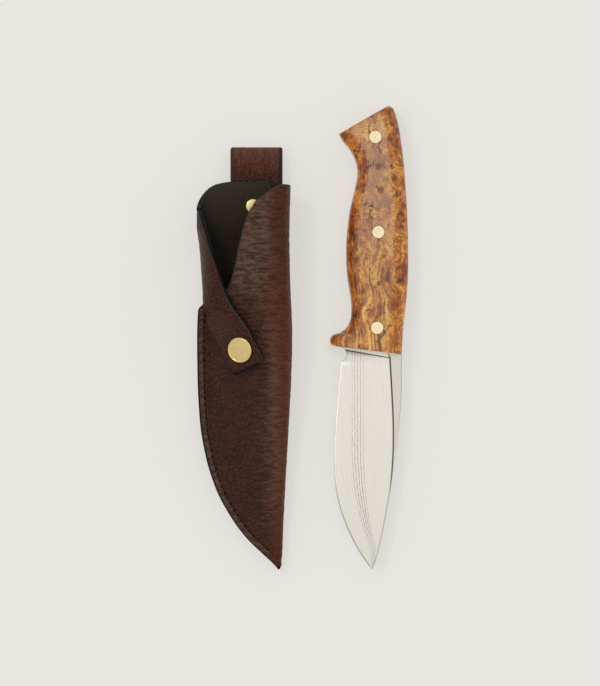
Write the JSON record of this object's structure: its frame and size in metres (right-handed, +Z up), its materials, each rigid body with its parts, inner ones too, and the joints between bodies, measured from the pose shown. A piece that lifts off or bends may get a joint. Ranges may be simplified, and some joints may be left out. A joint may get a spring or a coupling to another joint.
{
  "type": "full-tang belt knife with leather sheath",
  "caption": "Full-tang carving and outdoor knife with wooden scales and brass pins, beside its folded leather sheath with a snap retention flap and belt loop.",
  "frame": {"origin": "centre of the set's footprint, on the surface it lies on", "axes": "+Z up from the surface; +Y from the blade's tip to the handle's butt; +X from the sheath to the knife"},
  "size_m": [0.1048, 0.2302, 0.035],
  "materials": {
    "blade_steel": "fine satin with faint laminated lines",
    "burl_wood": "oiled and polished burl",
    "brass": "polished",
    "leather": "dark brown pebbled vegetable-tanned hide, waxed",
    "thread": "waxed linen",
    "spring_steel": "plain"
  },
  "bodies": {
    "knife": {"blade_and_tang": "blade_steel", "front_scale": "burl_wood", "back_scale": "burl_wood", "handle_pin_front": "brass", "handle_pin_middle": "brass", "handle_pin_rear": "brass"},
    "sheath": {"pouch": "leather", "welt": "leather", "seam_thread_front": "thread", "seam_thread_back": "thread", "belt_loop": "leather", "upper_rivet_cap": "brass", "upper_rivet_post": "brass", "lower_rivet_cap": "brass", "lower_rivet_post": "brass", "snap_stud": "brass", "snap_eyelet": "brass"},
    "flap": {"retention_flap": "leather", "snap_cap": "brass", "snap_socket": "brass", "snap_spring": "spring_steel"}
  },
  "joints": [
    {"name": "sheath_lift", "type": "slide", "parent": "knife", "child": "sheath", "axis": [0, 0, 1], "range_m": [0, 0.12]},
    {"name": "flap_hinge", "type": "hinge", "parent": "sheath", "child": "flap", "pos_m": [-0.0509, 0.04015, 0.01764], "axis": [0.0646, -0.9968, -0.0478], "range_deg": [0, 105]}
  ]
}
